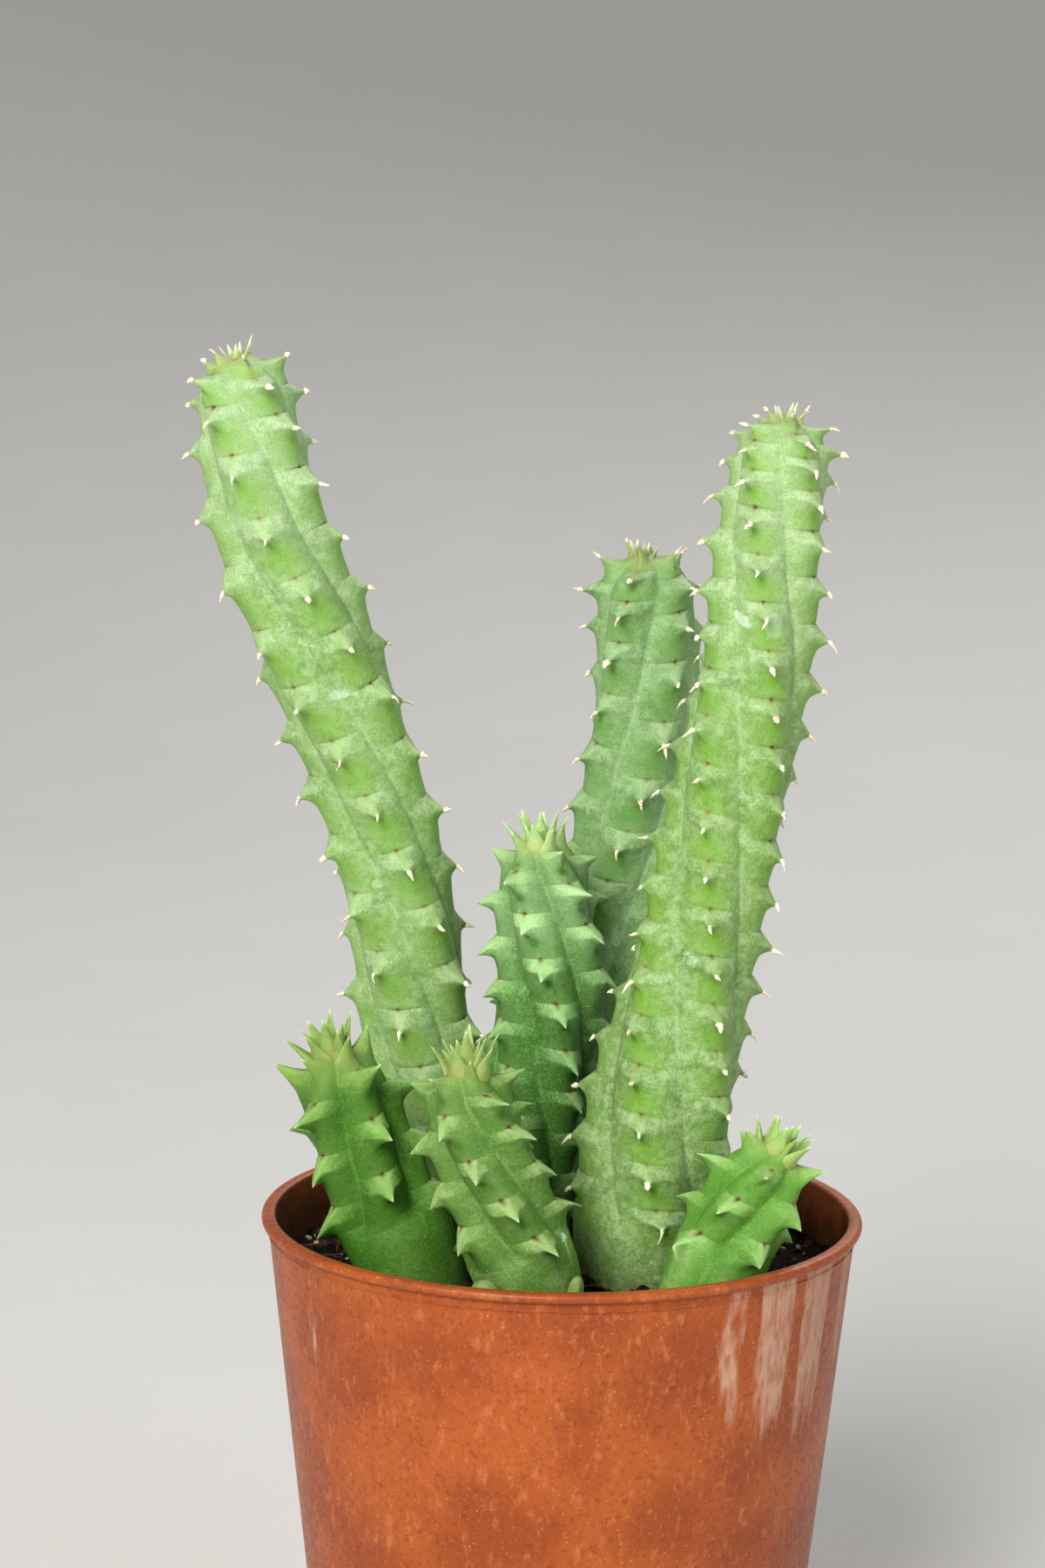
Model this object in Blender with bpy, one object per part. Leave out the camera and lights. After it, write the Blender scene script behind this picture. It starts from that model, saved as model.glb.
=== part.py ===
"""Potted huernia: seven ribbed, toothed stems standing in compost in a small plastic nursery pot.

Metres, +Z up. The origin is the middle of the pot's flat underside, and -Y is the front.
Each stem is one closed skin over a curved axis. Five ribs wind slowly round it, and their
teeth are raised from the skin by a formula, in the two-fifths spiral in which they grow.
"""
import math
from dataclasses import dataclass

import bmesh
import bpy
import numpy as np

MM = 0.001
SHARP_ANGLE = math.radians(40)

# The pot, a thin moulded one of the 5.5 cm trade size.
POT_HEIGHT = 50*MM
RIM_RADIUS = 27.5*MM
RIM_DEPTH = 0.9*MM
RIM_OVERHANG = 0.6*MM
BASE_RADIUS = 21.4*MM
WALL = 0.7*MM
FLOOR = 0.9*MM
EDGE = 0.6*MM
RIM_ROUND = 0.3*MM
DRAIN_HOLES = 5
DRAIN_RADIUS = 2.0*MM
DRAIN_CIRCLE = 13*MM
DRAIN_SIDES = 16
TURNED_SIDES = 50

# The compost, level a little under the rim, with a plain hole round the foot of each stem.
# A wave is its turns per metre along X and Y, in radians, and where it starts.
COMPOST_TOP = 45*MM
COMPOST_WAVES = ((410, 0, 1.3), (-260, 530, 0), (890, 640, 0.7))
WAVE_HEIGHT = 0.25*MM
COMPOST_RINGS = 8
CLEARANCE = 0.3*MM
HOLE_SIDES = 20

# What every stem shares.
RIBS = 5
RIB_ANGLE = 2*math.pi/RIBS
FRONT = np.array([0.0, -1.0, 0.0])
BURIED_ROWS = 4
FOOT_HEIGHT = 2.5*MM
CREASE_ABOVE_TOOTH = 0.25


@dataclass
class Growth:
    """How one kind of stem is ribbed and toothed, with its lengths in mm.

    columns are where its points lie round a rib, in degrees from the crest, and furrow is a
    share of the radius. A tooth is a cone on a swelling of its rib, and the roots are how far
    its foot spreads. The tip is a dome, drawn in by the power taper, and over the crown the
    pitch shrinks to the crowding's share. leans are degrees above level at the LEAN_AGES, so
    the newest teeth stand up round the tip and the old ones droop.
    """
    columns: tuple
    furrow: float
    swelling: float
    tooth: float
    root_above: float
    root_below: float
    root_beside: float
    dome: float
    taper: float
    crown: float
    crowding: float
    leans: tuple


# A tooth's age is how many pitches it is under the newest one.
LEAN_AGES = (0, 0.5, 1, 2, 3.5)
LENGTH_AGES = (0, 0.4, 1, 1.6, 3)
LENGTH_SHARES = (0.6, 1.2, 1.2, 1, 0.75)
AGED = Growth(
    (-20, 0, 20), 0.12, 0.5, 1.2, 1.3, 1.5, 1.2, 3.4, 1, 10, 0.4, (75, 60, 25, -10, -30))
HALF_GROWN = Growth(
    (-20, 0, 20), 0.18, 0.8, 1.5, 1.4, 1.7, 1.2, 4.6, 1.3, 6, 0.7, (86, 80, 60, 0, -35))
YOUNG = Growth(
    (-25, -10, 0, 10, 25), 0.2, 0.9, 2.0, 1.3, 1.9, 1.2, 4.6, 1.3, 6, 0.7, (86, 80, 60, 0, -35))


@dataclass
class Stem:
    """One stem, with its lengths in mm and its angles in degrees.

    path and radii run from the buried end to the growing tip. pitch is the distance between
    two teeth of one rib, bare is the toothless buried length, turn is the way the rib of the
    lowest tooth faces there, twist is how far the ribs turn over a pitch going up, and hand
    is the spiral's.
    """
    path: list
    radii: list
    pitch: float
    bare: float
    turn: float
    twist: float
    hand: int
    growth: Growth
    colour: tuple


FRESH_GREEN = (0.16, 0.33, 0.08, 1)
PALE_GREEN = (0.26, 0.41, 0.17, 1)
STEMS = {
    "stem_tall_left": Stem(
        [(-14, 11.2, 37), (-13.1, 11.2, 46.5), (-12.8, 11, 55.5), (-13.8, 10.4, 65.5),
         (-15.5, 9, 77), (-19.2, 7.2, 91), (-23.3, 5.8, 101.5), (-27.2, 4.6, 112), (-30.3, 4, 127)],
        [4.2, 5.0, 5.2, 4.95, 5.0, 5.3, 5.0, 3.9], 5.8, 14.4, -41, -16.3, 1, AGED, PALE_GREEN),
    "stem_tall_right": Stem(
        [(7.4, -2, 37), (7.4, -2.2, 46), (7.9, -2.5, 53), (9.1, -2.7, 62), (12.7, -2.5, 80),
         (16.3, -2.2, 100), (17.4, -2, 111), (18.8, -2, 122.5)],
        [4.6, 6.1, 6.3, 5.4, 5.2, 5.0, 4.7, 3.9], 4.18, 13.6, 225, -11.5, 1, AGED, PALE_GREEN),
    "stem_back": Stem(
        [(1.6, 18.6, 37), (1.8, 18.6, 46), (2.4, 18.6, 55), (3.8, 18.3, 66), (5.6, 17.2, 79),
         (7.4, 14.5, 94.5), (6.8, 12.5, 109)],
        [4.2, 4.8, 5.2, 5.25, 5.2, 5.2, 4.9, 4.1], 5.4, 12.7, 133, 12, 1, AGED, PALE_GREEN),
    "stem_middle": Stem(
        [(-3.5, 4.6, 37), (-3.5, 4.7, 47), (-2.6, 4.6, 60), (-1.4, 4.4, 70), (-2.5, 4.2, 84)],
        [3.6, 4.2, 4.3, 4.8, 5.0, 4.6, 3.5], 4.15, 14, -61, -17, 1, HALF_GROWN, FRESH_GREEN),
    "stem_short_left": Stem(
        [(-11.2, -6.4, 37), (-13.2, -6.8, 45.5), (-16, -7, 52.3), (-19.4, -7.4, 61.4),
         (-21.2, -7.6, 66.8)],
        [3.6, 4.4, 4.9, 4.7, 4.3, 3.3], 4.85, 14.7, 219, 12.8, -1, YOUNG, FRESH_GREEN),
    "stem_short_front": Stem(
        [(-0.9, -14, 37), (-2.6, -14.6, 46.2), (-5.2, -15, 53.6), (-8, -15, 61.8),
         (-8.8, -15, 67.4)],
        [3.4, 4.2, 4.7, 4.5, 4.1, 3.2], 4.1, 13.7, 181, -21, -1, YOUNG, FRESH_GREEN),
    "stem_short_right": Stem(
        [(10.2, -11.8, 37), (12.7, -12.1, 46), (15.2, -12.3, 52), (19.2, -12.1, 59.8)],
        [3.2, 3.9, 4.3, 4.1, 3.2], 4.05, 13.6, -51, 22, -1, YOUNG, FRESH_GREEN),
}


def clear_scene():
    for thing in list(bpy.data.objects):
        bpy.data.objects.remove(thing, do_unlink=True)


def plain_material(name, colour, roughness):
    material = bpy.data.materials.new(name)
    material.use_nodes = True
    shader = material.node_tree.nodes["Principled BSDF"]
    shader.inputs["Base Color"].default_value = colour
    shader.inputs["Roughness"].default_value = roughness
    shader.inputs["Metallic"].default_value = 0.0
    return material


def add_object(name, mesh, material=None):
    thing = bpy.data.objects.new(name, mesh)
    bpy.context.collection.objects.link(thing)
    if material:
        mesh.materials.append(material)
    mesh.shade_smooth()
    mesh.set_sharp_from_angle(angle=SHARP_ANGLE)
    return thing


def turn_profile(name, profile):
    """A closed solid, from radius and height pairs that start and end on the axis."""
    shape = bmesh.new()
    points = [shape.verts.new((radius, 0, height)) for radius, height in profile]
    edges = [shape.edges.new(pair) for pair in zip(points, points[1:])]
    bmesh.ops.spin(shape, geom=points + edges, axis=(0, 0, 1), cent=(0, 0, 0),
                   steps=TURNED_SIDES, angle=2*math.pi, use_merge=True)
    bmesh.ops.remove_doubles(shape, verts=shape.verts, dist=1e-6)
    bmesh.ops.recalc_face_normals(shape, faces=shape.faces)
    mesh = bpy.data.meshes.new(name)
    shape.to_mesh(mesh)
    shape.free()
    return mesh


def cut_away(thing, cutter):
    """Keep the cutter in the scene as a wire guide, and take its shape out of the thing."""
    cutter.hide_render = True
    cutter.display_type = "WIRE"
    cut = thing.modifiers.new("cut_" + cutter.name, "BOOLEAN")
    cut.operation = "DIFFERENCE"
    cut.object = cutter


def pot_wall_radius(height):
    """Outer radius of the tapered wall, which ends under the rim's overhang."""
    top = RIM_RADIUS - RIM_OVERHANG
    return BASE_RADIUS + (top - BASE_RADIUS)*height/(POT_HEIGHT - RIM_DEPTH)


def make_pot(material):
    under_rim = POT_HEIGHT - RIM_DEPTH
    inner_top = pot_wall_radius(under_rim) - WALL
    profile = [
        (0, 0),
        (BASE_RADIUS - EDGE, 0),
        (pot_wall_radius(EDGE), EDGE),
        (pot_wall_radius(under_rim), under_rim),
        (RIM_RADIUS, under_rim + RIM_ROUND/2),
        (RIM_RADIUS, POT_HEIGHT - RIM_ROUND),
        (RIM_RADIUS - RIM_ROUND, POT_HEIGHT),
        (inner_top + RIM_ROUND, POT_HEIGHT),
        (inner_top, POT_HEIGHT - RIM_ROUND),
        (pot_wall_radius(FLOOR + EDGE) - WALL, FLOOR + EDGE),
        (pot_wall_radius(FLOOR) - WALL - EDGE, FLOOR),
        (0, FLOOR),
    ]
    pot = add_object("pot", turn_profile("pot", profile), material)
    for number in range(DRAIN_HOLES):
        angle = 2*math.pi*number/DRAIN_HOLES
        bpy.ops.mesh.primitive_cylinder_add(
            vertices=DRAIN_SIDES, radius=DRAIN_RADIUS, depth=4*FLOOR,
            location=(DRAIN_CIRCLE*math.sin(angle), -DRAIN_CIRCLE*math.cos(angle), FLOOR/2))
        cutter = bpy.context.object
        cutter.name = f"drain_hole_{number + 1}"
        cut_away(pot, cutter)


def compost_height(x, y, edge_radius):
    """Gentle humps and hollows, from a few crossed waves that die out at the pot's wall."""
    waves = sum(math.sin(along_x*x + along_y*y + start) for along_x, along_y, start in COMPOST_WAVES)
    fade = max(0, 1 - math.hypot(x, y)/edge_radius)**0.5
    return COMPOST_TOP + WAVE_HEIGHT*waves*fade


def make_compost(material, stem_holes):
    bottom = FLOOR + CLEARANCE
    gap = WALL + CLEARANCE/math.cos(math.pi/TURNED_SIDES)
    edge_radius = pot_wall_radius(COMPOST_TOP) - gap
    profile = [
        (0, bottom),
        (pot_wall_radius(FLOOR) - gap - 2*EDGE, bottom),
        (pot_wall_radius(FLOOR + 2*EDGE) - gap, bottom + 2*EDGE),
    ]
    for ring in range(COMPOST_RINGS, 0, -1):
        profile.append((edge_radius*ring/COMPOST_RINGS, COMPOST_TOP))
    profile.append((0, COMPOST_TOP))
    mesh = turn_profile("compost", profile)
    for point in mesh.vertices:
        if point.co.z > COMPOST_TOP - MM:
            point.co.z = compost_height(point.co.x, point.co.y, edge_radius)
    compost = add_object("compost", mesh, material)
    for hole in stem_holes:
        cut_away(compost, hole)


def smooth_curve(points, steps=24):
    """Points along the Catmull-Rom curve through the given ones."""
    given = np.array(points, float)
    given = np.concatenate([2*given[:1] - given[1:2], given, 2*given[-1:] - given[-2:-1]])
    part = np.linspace(0, 1, steps, endpoint=False)
    part = part.reshape((-1,) + (1,)*(given.ndim - 1))
    spans = []
    for before, start, end, after in zip(given, given[1:], given[2:], given[3:]):
        bend = 2*before - 5*start + 4*end - after
        twist = 3*start - 3*end + after - before
        spans.append(start + 0.5*((end - before)*part + bend*part**2 + twist*part**3))
    return np.concatenate(spans + [given[-2:-1]])


class Axis:
    """The middle line of a stem, read at any length along it."""

    def __init__(self, stem):
        self.points = smooth_curve(stem.path)*MM
        steps = np.linalg.norm(np.diff(self.points, axis=0), axis=1)
        self.marks = np.concatenate([[0], np.cumsum(steps)])
        self.length = self.marks[-1]

    def at(self, along):
        return np.stack([np.interp(along, self.marks, self.points[:, way]) for way in range(3)], -1)

    def frames(self, along):
        """Unit vectors up the stem, out of its front and out of its side."""
        reach = 0.6*MM
        up = self.at(np.minimum(along + reach, self.length)) - self.at(np.maximum(along - reach, 0))
        up /= np.linalg.norm(up, axis=1, keepdims=True)
        front = FRONT - (up @ FRONT)[:, None]*up
        front /= np.linalg.norm(front, axis=1, keepdims=True)
        return up, front, np.cross(up, front)


def body_radii(stem, along, length):
    """Radius of the ribs' crests: hand-set swellings, a rounded foot and a domed tip."""
    curve = smooth_curve(stem.radii)*MM
    radius = np.interp(along/length, np.linspace(0, 1, len(curve)), curve)
    into_foot = np.clip(1 - along/FOOT_HEIGHT, 0, 1)
    return radius*dome(stem, along, length)**stem.growth.taper*np.sqrt(1 - 0.75*into_foot**2)


def dome(stem, along, length):
    """How the tip rounds over: 1 up to the dome's foot, falling to 0 at the growing point."""
    into_dome = np.clip(1 - (length - along)/(stem.growth.dome*MM), 0, 1)
    return np.sqrt(1 - into_dome**2)


def tooth_rows(stem, length):
    """Heights of the rows of points, one at each tooth, crowding together over the tip."""
    along = np.linspace(stem.bare*MM, length, 1500)
    crown = stem.growth.crown*MM
    into_crown = np.clip((along - length + crown)/crown, 0, 1)
    pitch = stem.pitch*MM*(1 - (1 - stem.growth.crowding)*into_crown)
    pitch = pitch*np.maximum(dome(stem, along, length), 0.05)
    count = np.concatenate([[0], np.cumsum(np.diff(along)*RIBS/pitch[1:])])
    rows = round(count[-1])
    heights = np.interp(np.arange(rows + 1)/rows*count[-1], count, along)
    return heights, np.interp(heights, along, pitch)


class Grid:
    """Rings of points up a stem, some columns to a rib, and how each lies to its own tooth.

    The teeth follow the two-fifths spiral: each row holds one tooth, on the second rib along
    from the last one. above counts pitches up the rib from the tooth that a point belongs to.
    """

    def __init__(self, stem, length):
        rows, pitches = tooth_rows(stem, length)
        buried = np.linspace(0, stem.bare*MM, BURIED_ROWS, endpoint=False)
        self.along = np.concatenate([buried, rows])[:, None]
        self.pitch = np.concatenate([np.full(BURIED_ROWS, pitches[0]), pitches])[:, None]
        self.row = np.arange(-BURIED_ROWS, len(rows))[:, None]
        columns = np.radians(stem.growth.columns)
        self.rib = np.repeat(np.arange(RIBS), len(columns))[None]
        self.off_crest = np.tile(columns, RIBS)[None]
        self.above = ((self.row - 3*stem.hand*self.rib + 3) % RIBS - 3)/RIBS
        tooth = self.row - np.rint(self.above*RIBS)
        newest = len(rows) - 2
        self.grown = (tooth >= 0) & (tooth <= newest) & (self.row >= 0)
        self.age = np.clip(newest - tooth, 0, None)/RIBS
        self.is_tooth = (self.above == 0) & (self.off_crest == 0) & self.grown


def rib_crest(grid):
    """1 along the crest of a rib, falling to 0 in the furrow."""
    return np.cos(RIBS*grid.off_crest/2)


def rib_swelling(growth, grid):
    """How the rib swells from the crease above a tooth to the tooth, and falls away under it."""
    upper = np.clip(1 - grid.above/CREASE_ABOVE_TOOTH, 0, 1)**0.8
    lower = np.clip(1 + grid.above/(1 - CREASE_ABOVE_TOOTH), 0, 1)**1.8
    full = growth.swelling*MM*np.minimum(1, 0.3 + 0.5*grid.age)
    return full*np.where(grid.above >= 0, upper, lower)*rib_crest(grid)**2*grid.grown


def tooth_cone(growth, grid, radius):
    """How far each point is drawn out into the small cone of its tooth."""
    root = np.where(grid.above >= 0, growth.root_above, growth.root_below)*MM
    up_rib = grid.above*grid.pitch/root
    beside = radius*grid.off_crest/(growth.root_beside*MM)
    length = growth.tooth*MM*np.interp(grid.age, LENGTH_AGES, LENGTH_SHARES)
    return length*np.clip(1 - np.hypot(up_rib, beside), 0, 1)**1.5*grid.grown


def stem_points(stem):
    """The grid's points in space, and which of them are the points of teeth."""
    axis = Axis(stem)
    grid = Grid(stem, axis.length)
    radius = body_radii(stem, grid.along, axis.length)
    furrow = stem.growth.furrow*(1 - rib_crest(grid))*(grid.row > 0)
    skin = radius*(1 - furrow) + rib_swelling(stem.growth, grid)
    cone = tooth_cone(stem.growth, grid, radius)
    lean = np.radians(np.interp(grid.age, LEAN_AGES, stem.growth.leans))

    along = grid.along[:, 0]
    up, front, side = axis.frames(along)
    turned = np.radians(stem.turn + stem.twist*grid.row/RIBS)
    facing = turned + grid.rib*RIB_ANGLE + grid.off_crest
    outward = np.cos(facing)[..., None]*front[:, None] + np.sin(facing)[..., None]*side[:, None]
    points = axis.at(along)[:, None] + outward*(skin + cone*np.cos(lean))[..., None]
    points = points + up[:, None]*(cone*np.sin(lean))[..., None]
    return points, grid.is_tooth


def skin_faces(rings, columns, is_tooth):
    """Triangles between the rings, split so that each tooth keeps four clean sides."""
    faces = []
    for ring in range(rings - 1):
        for column in range(columns):
            beside = (column + 1) % columns
            a, b = ring*columns + column, ring*columns + beside
            c, d = a + columns, b + columns
            if is_tooth[ring, column] or is_tooth[ring + 1, beside]:
                faces += [(a, b, c), (b, d, c)]
            else:
                faces += [(a, b, d), (a, d, c)]
    foot, tip = rings*columns, rings*columns + 1
    last = (rings - 1)*columns
    for column in range(columns):
        beside = (column + 1) % columns
        faces.append((foot, beside, column))
        faces.append((last + column, last + beside, tip))
    return faces


def make_stem(name, stem):
    points, is_tooth = stem_points(stem)
    tip = points[-1].mean(axis=0)
    points, is_tooth = points[:-1], is_tooth[:-1]
    rings, columns = is_tooth.shape
    foot = points[0].mean(axis=0)
    everything = np.concatenate([points.reshape(-1, 3), [foot, tip]])
    mesh = bpy.data.meshes.new(name)
    mesh.from_pydata(everything.tolist(), [], skin_faces(rings, columns, is_tooth))
    add_object(name, mesh, plain_material(name, stem.colour, 0.5))


def make_stem_hole(name, stem):
    """A plain sleeve round the buried part of a stem, with room on every side."""
    axis = Axis(stem)
    along = np.linspace(0, stem.bare*MM, BURIED_ROWS + 1)
    up, front, side = axis.frames(along)
    centre = axis.at(along)
    centre[0] -= up[0]*CLEARANCE
    radius = (body_radii(stem, along, axis.length) + CLEARANCE)/math.cos(math.pi/HOLE_SIDES)
    facing = np.linspace(0, 2*math.pi, HOLE_SIDES, endpoint=False)[:, None]
    outward = np.cos(facing)*front[:, None] + np.sin(facing)*side[:, None]
    points = centre[:, None] + outward*radius[:, None, None]
    shape = bmesh.new()
    rings = [[shape.verts.new(point) for point in ring] for ring in points]
    for lower, upper in zip(rings, rings[1:]):
        for side_number in range(HOLE_SIDES):
            before = side_number - 1
            shape.faces.new((lower[before], lower[side_number], upper[side_number], upper[before]))
    shape.faces.new(rings[0][::-1])
    shape.faces.new(rings[-1])
    mesh = bpy.data.meshes.new(name + "_hole")
    shape.to_mesh(mesh)
    shape.free()
    return add_object(name + "_hole", mesh)


def main():
    clear_scene()
    make_pot(plain_material("pot", (0.45, 0.13, 0.05, 1), 0.4))
    holes = [make_stem_hole(name, stem) for name, stem in STEMS.items()]
    make_compost(plain_material("compost", (0.03, 0.02, 0.015, 1), 0.95), holes)
    for name, stem in STEMS.items():
        make_stem(name, stem)


main()
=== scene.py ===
"""Looks of the potted huernia: skins of the stems, dried tips, compost, pot and studio.

The stems grow by the rule of the part's source, on a finer grid, and from its values, apart from
some of the teeth and furrows and the foot of one stem. Metres, +Z up, -Y is the front.
"""

import math
from collections import namedtuple
from types import SimpleNamespace

import bmesh
import bpy
import numpy as np
from mathutils import Matrix, Vector


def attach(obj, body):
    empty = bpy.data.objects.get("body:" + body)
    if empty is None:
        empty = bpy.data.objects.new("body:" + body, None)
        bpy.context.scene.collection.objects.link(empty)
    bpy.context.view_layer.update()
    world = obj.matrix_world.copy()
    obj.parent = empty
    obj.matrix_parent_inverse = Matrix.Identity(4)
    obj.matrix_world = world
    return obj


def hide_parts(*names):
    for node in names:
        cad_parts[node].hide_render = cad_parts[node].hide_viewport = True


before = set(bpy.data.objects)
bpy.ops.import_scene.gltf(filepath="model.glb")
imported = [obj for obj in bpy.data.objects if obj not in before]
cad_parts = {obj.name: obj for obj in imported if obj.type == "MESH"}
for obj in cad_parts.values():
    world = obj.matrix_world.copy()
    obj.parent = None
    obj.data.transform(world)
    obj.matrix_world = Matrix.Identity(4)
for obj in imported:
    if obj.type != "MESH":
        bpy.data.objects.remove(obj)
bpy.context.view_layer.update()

MM = 0.001
FRONT = np.array([0.0, -1.0, 0.0])

# The ribs of a stem, and its buried foot, which draws in by this share of its section.
RIBS = 5
RIB_ANGLE = 2*math.pi/RIBS
FOOT_HEIGHT = 2.5*MM
FOOT_TAPER = 0.75

# The grid of a stem, whose rings crowd round its creases, and the marks that count its rows.
COLUMNS_TO_A_RIB = 30
CROWDING = 0.45
BURIED_RINGS = 6
BURIED_ROWS = 4
MARKS_UP_A_STEM = 1500
EIGHT_RINGS = (0, 0.13, 0.2, 0.25, 0.3, 0.42, 0.6, 0.8)
SIX_RINGS = (0, 0.17, 0.25, 0.33, 0.55, 0.78)

# Where the crease above a tooth is, as a share of the pitch, and how deep it and its pit are.
CREASE = 0.25
CREASE_DEPTH = 0.13*MM
CREASE_WIDTH = 0.08*MM
PIT_DEPTH = 0.2*MM
VALLEY_WIDTH = 0.35*MM

# Height and size of the skin's lumps, and of the sway of its furrows.
BROAD_LUMPS = (0.07*MM, 3.1*MM)
FINE_LUMPS = (0.025*MM, 0.9*MM)
SWAY = (0.3*MM, 4.5*MM)

# The pot and the compost.
POT_HEIGHT = 50*MM
RIM_RADIUS = 27.5*MM
RIM_DEPTH = 0.9*MM
RIM_OVERHANG = 0.6*MM
BASE_RADIUS = 21.4*MM
WALL = 0.7*MM
FLOOR = 0.9*MM
MOULDING_LINE = POT_HEIGHT - RIM_DEPTH - 0.75*MM
DRAIN_HOLES = 5
DRAIN_RADIUS = 2*MM
DRAIN_CIRCLE = 13*MM
POT_SIDES = 240
BEAD_STEPS = 9
# How far the rim is out of round, and how wavy.
OUT_OF_ROUND = 0.25*MM
RIM_WAVE = 0.08*MM
# Limescale bands below the rim: angle round from the front, half width in radians, strength.
SCALE_BANDS = ((0.585, 0.065, 0.55), (0.78, 0.085, 1), (1.005, 0.09, 1), (1.26, 0.04, 0.9),
               (2.4, 0.12, 0.8), (3.7, 0.1, 1), (4, 0.12, 0.8), (5.3, 0.05, 0.5))
COMPOST_TOP = 45*MM
COMPOST_WAVES = ((410, 0, 1.3), (-260, 530, 0), (890, 640, 0.7))
WAVE_HEIGHT = 0.25*MM
CLEARANCE = 0.3*MM


# How one kind of stem grows, with lengths in mm and leans in degrees. softness rounds the bottom
# of a furrow, hollow is the power that hollows a tooth, and crease is the share of a full crease.
# The tip rounds off over the length dome, by the power taper, and teeth crowd over crown.
Growth = namedtuple("Growth", "furrow softness swelling tooth hollow root_above root_below "
                    "root_beside droop pit valley crease dome taper crown crowding leans")

# A tooth's age is counted in pitches: at age 1 there is one newer tooth above it on its rib.
LEAN_AGES = (0, 0.5, 1, 2, 3.5)
LENGTH_AGES = (0, 0.4, 1, 1.6, 3)
LENGTH_SHARES = (0.9, 1.35, 1.25, 1, 0.75)
AGED = Growth(
    furrow=0.12, softness=0.06, swelling=0.7, tooth=1, hollow=1.5, root_above=0.95,
    root_below=1.6, root_beside=0.85, droop=0.1, pit=0.12, valley=0.08, crease=1, dome=3.4,
    taper=1.1, crown=10, crowding=0.4, leans=(75, 60, 25, -10, -30))
HALF_GROWN = Growth(
    furrow=0.25, softness=0.2, swelling=0.85, tooth=1.3, hollow=1.35, root_above=0.95,
    root_below=1.3, root_beside=0.6, droop=0.2, pit=0.17, valley=0, crease=0.4, dome=4.6,
    taper=1.3, crown=6, crowding=0.7, leans=(86, 80, 60, -5, -38))
YOUNG = HALF_GROWN._replace(
    furrow=0.29, softness=0.25, swelling=0.95, tooth=1.75, hollow=1.3, root_above=1.05,
    root_below=1.5, root_beside=0.68, droop=0.25, pit=0.19, crease=0.2)
SOFT = YOUNG._replace(
    furrow=0.27, swelling=0.9, tooth=1.4, root_above=0.95, root_below=1.3, root_beside=0.58)

# A tooth grows in up to the first age, under the tuft, and droops past the second.
FULL_AGE = 0.3
DROOP_AGE = 1.5


# One stem: path and radii in mm from the buried end to the tip, and angles in degrees. The
# seeds of the stems count up from the first.
FIRST_SEED = 31
Stem = namedtuple("Stem", "path radii pitch bare turn twist hand growth rings",
                  defaults=(1, AGED, EIGHT_RINGS))
STEMS = {
    "stem_tall_left": Stem(
        [(-14, 11.2, 37), (-13.1, 11.2, 46.5), (-12.8, 11, 55.5), (-13.8, 10.4, 65.5),
         (-15.5, 9, 77), (-19.2, 7.2, 91), (-23.3, 5.8, 101.5), (-27.2, 4.6, 112), (-30.3, 4, 127)],
        [4.2, 5, 5.2, 4.95, 5, 5.3, 5, 3.9],
        pitch=5.8, bare=14.4, turn=-41, twist=-16.3),
    "stem_tall_right": Stem(
        [(7.4, -2.2, 37), (7.4, -2.7, 46), (7.9, -2.7, 53), (9.1, -2.7, 62), (12.7, -2.5, 80),
         (16.3, -2.2, 100), (17.4, -2, 111), (18.8, -2, 122.5)],
        [4.9, 6.6, 6.5, 5.4, 5.2, 5, 4.7, 3.9],
        pitch=4.18, bare=13.6, turn=225, twist=-11.5, rings=SIX_RINGS),
    "stem_back": Stem(
        [(1.6, 18.6, 37), (1.8, 18.6, 46), (2.4, 18.6, 55), (3.8, 18.3, 66), (5.6, 17.2, 79),
         (7.4, 14.5, 94.5), (6.8, 12.5, 109)],
        [4.2, 4.8, 5.2, 5.25, 5.2, 5.2, 4.9, 4.1],
        pitch=5.4, bare=12.7, turn=133, twist=12, rings=SIX_RINGS),
    "stem_middle": Stem(
        [(-3.5, 4.6, 37), (-3.5, 4.7, 47), (-2.6, 4.6, 60), (-1.4, 4.4, 70), (-2.5, 4.2, 84)],
        [3.6, 4.2, 4.3, 4.8, 5, 4.6, 3.5],
        pitch=4.15, bare=14, turn=-61, twist=-17, growth=HALF_GROWN),
    "stem_short_left": Stem(
        [(-11.2, -6.4, 37), (-13.2, -6.8, 45.5), (-16, -7, 52.3), (-19.4, -7.4, 61.4),
         (-21.2, -7.6, 66.8)],
        [3.6, 4.4, 4.9, 4.7, 4.3, 3.3],
        pitch=4.85, bare=14.7, turn=219, twist=12.8, hand=-1, growth=YOUNG),
    "stem_short_front": Stem(
        [(-0.9, -14, 37), (-2.6, -14.6, 46.2), (-5.2, -15, 53.6), (-8, -15, 61.8),
         (-8.8, -15, 67.4)],
        [3.4, 4.2, 4.7, 4.5, 4.1, 3.2],
        pitch=4.1, bare=13.7, turn=181, twist=-21, hand=-1, growth=SOFT),
    "stem_short_right": Stem(
        [(10.2, -11.8, 37), (12.7, -12.1, 46), (15.2, -12.3, 52), (19.2, -12.1, 59.8)],
        [3.2, 3.9, 4.3, 4.1, 3.2],
        pitch=4.05, bare=13.6, turn=-51, twist=22, hand=-1, growth=SOFT),
}

# Pale scars on the front: x, z, half length and half width in mm, tilt in degrees, strength.
SCARS = {
    "stem_tall_left": ((-20.8, 96.9, 1, 0.4, 10, 0.6),),
    "stem_tall_right": ((15, 105.1, 0.9, 0.42, -45, 0.8), (17.6, 104.7, 0.85, 1.15, 0, 0.3)),
    "stem_short_front": ((-0.6, 49.4, 0.3, 0.18, 70, 0.6), (0, 52, 0.3, 0.17, 100, 0.6)),
}


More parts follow.
